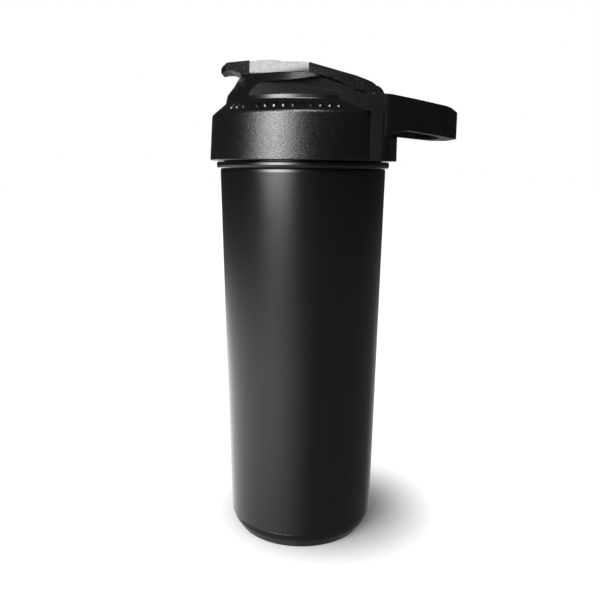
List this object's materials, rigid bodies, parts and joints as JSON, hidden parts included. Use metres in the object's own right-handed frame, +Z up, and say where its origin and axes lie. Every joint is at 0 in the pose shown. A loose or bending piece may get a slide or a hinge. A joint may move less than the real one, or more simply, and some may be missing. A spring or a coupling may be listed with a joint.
{
  "type": "insulated shaker bottle",
  "caption": "Tapered vacuum-walled shaker bottle with a screw lid, a flip cap over the spout, a carry loop and a mixing grid.",
  "frame": {"origin": "on the bottle's axis, on the plane that its standing ring rests on", "axes": "+Z up along the bottle's axis, +X towards the carry loop and the cap's hinge, -X towards the spout"},
  "size_m": [0.1225, 0.0926, 0.2417],
  "materials": {
    "coated_steel": "satin black powder coat",
    "bare_steel": "brushed and electropolished",
    "seal_metal": "dull braze",
    "black_silicone": "semi-gloss",
    "clear_silicone": "translucent grey, dull",
    "textured_plastic": "fine spark-eroded grain",
    "smooth_plastic": "satin to gloss",
    "badge_plastic": "pale satin dome"
  },
  "bodies": {
    "bottle": {"outer_shell": "coated_steel", "base_cup": "coated_steel", "base_cover": "coated_steel", "liner_wall": "bare_steel", "liner_bottom": "bare_steel", "getter_capsule": "bare_steel", "getter_clip": "bare_steel", "vacuum_seal": "seal_metal"},
    "ring": {"neck_ring": "black_silicone"},
    "gasket": {"lid_gasket": "clear_silicone"},
    "lid": {"lid_cover": "textured_plastic", "lid_liner": "smooth_plastic", "carry_handle": "smooth_plastic", "hinge_pin": "bare_steel"},
    "grid": {"mixing_grid": "smooth_plastic"},
    "cap": {"flip_cap": "smooth_plastic", "cap_badge": "badge_plastic", "spout_seal": "clear_silicone"}
  },
  "joints": [
    {"name": "lid_lift", "type": "slide", "parent": "bottle", "child": "ring", "axis": [0, 0, 1], "range_m": [0, 0.07]},
    {"name": "lid_rise", "type": "slide", "parent": "ring", "child": "gasket", "axis": [0, 0, 1], "range_m": [0, 0.00626]},
    {"name": "lid_turn", "type": "hinge", "parent": "gasket", "child": "lid", "pos_m": [0, 0, 0.2], "axis": [0, 0, 1], "range_deg": [0, 450]},
    {"name": "cap_hinge", "type": "hinge", "parent": "lid", "child": "cap", "pos_m": [0.0332, 0, 0.2236], "axis": [0, 1, 0], "range_deg": [0, 125]},
    {"name": "grid_pull", "type": "slide", "parent": "lid", "child": "grid", "axis": [0, 0, -1], "range_m": [0, 0.025]}
  ],
  "couplings": [
    {"joint": "lid_rise", "follows": "lid_turn", "m_per_rad": 0.00079577}
  ]
}
